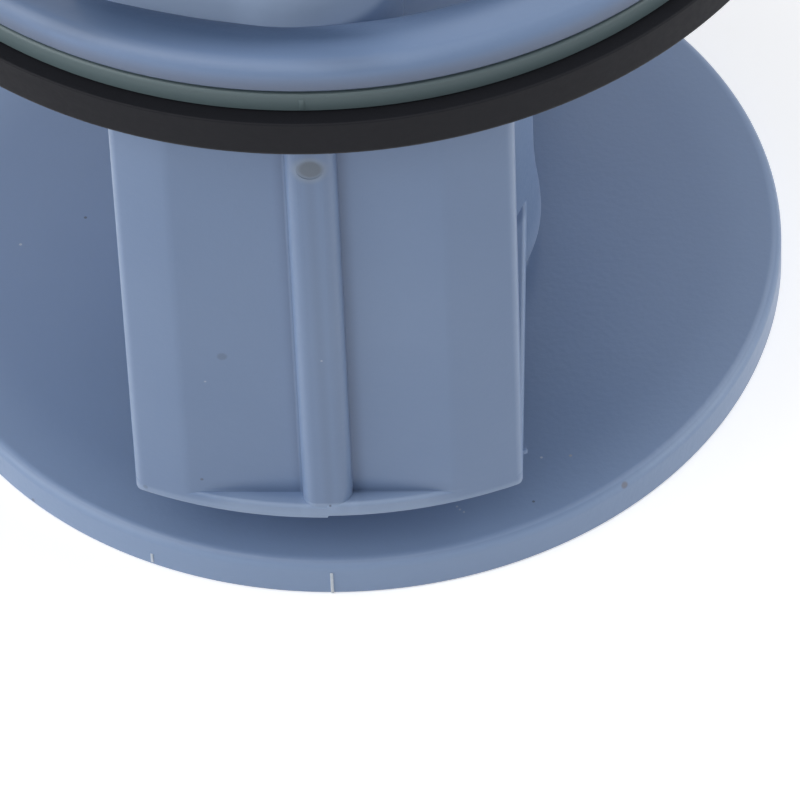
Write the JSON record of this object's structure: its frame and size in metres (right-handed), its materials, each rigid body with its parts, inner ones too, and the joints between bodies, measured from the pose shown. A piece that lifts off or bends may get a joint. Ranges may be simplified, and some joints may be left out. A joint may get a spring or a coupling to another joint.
{
  "type": "washing machine drain pump filter",
  "caption": "Drain pump filter with an end disc, a column with open-sided wings, a rubber seal with a backing ring, and a cupped cap with a twist grip.",
  "frame": {"origin": "centre of the end disc's underside", "axes": "+Z along the filter's axis from the end disc to the grip, -Y towards the front wing"},
  "size_m": [0.0672, 0.0646, 0.065],
  "materials": {
    "body_plastic": "satin moulded blue-grey plastic",
    "seal_rubber": "smooth black rubber",
    "ring_plastic": "satin grey-green plastic"
  },
  "bodies": {
    "root": {"filter_body": "body_plastic", "sealing_ring": "seal_rubber", "backing_ring": "ring_plastic"}
  },
  "joints": []
}
